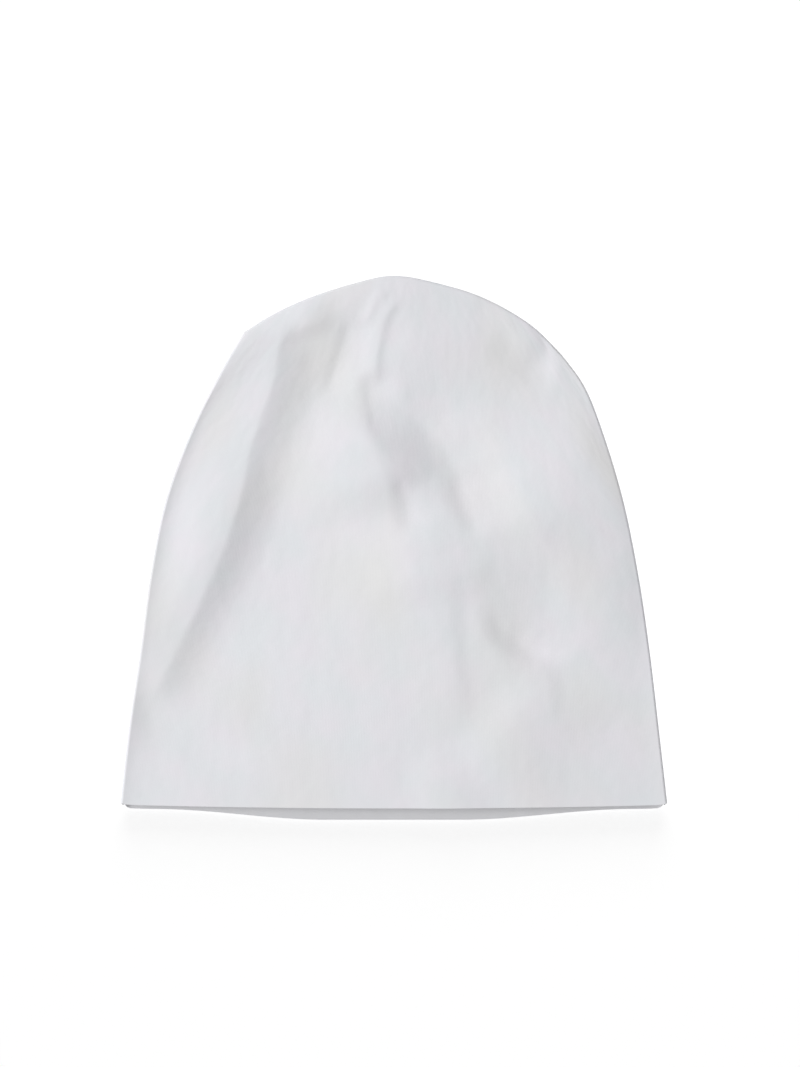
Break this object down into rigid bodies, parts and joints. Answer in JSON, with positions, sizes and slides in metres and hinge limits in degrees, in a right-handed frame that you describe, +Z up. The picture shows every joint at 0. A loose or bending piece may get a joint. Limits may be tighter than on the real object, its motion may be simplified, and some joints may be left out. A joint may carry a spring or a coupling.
{
  "type": "beanie",
  "caption": "Plain jersey beanie lying flat on its back, with an open mouth, a folded rim, crown darts and soft folds in its front.",
  "frame": {"origin": "on the surface that the beanie lies on, under the middle of its box", "axes": "+X to the right of someone who looks down on the front with the crown away from them, +Y from the rim to the crown, +Z up from the surface"},
  "size_m": [0.2406, 0.2408, 0.0171],
  "materials": {
    "jersey": "matte white cotton jersey with a fine knit"
  },
  "bodies": {
    "root": {"jersey_shell": "jersey"}
  },
  "joints": []
}
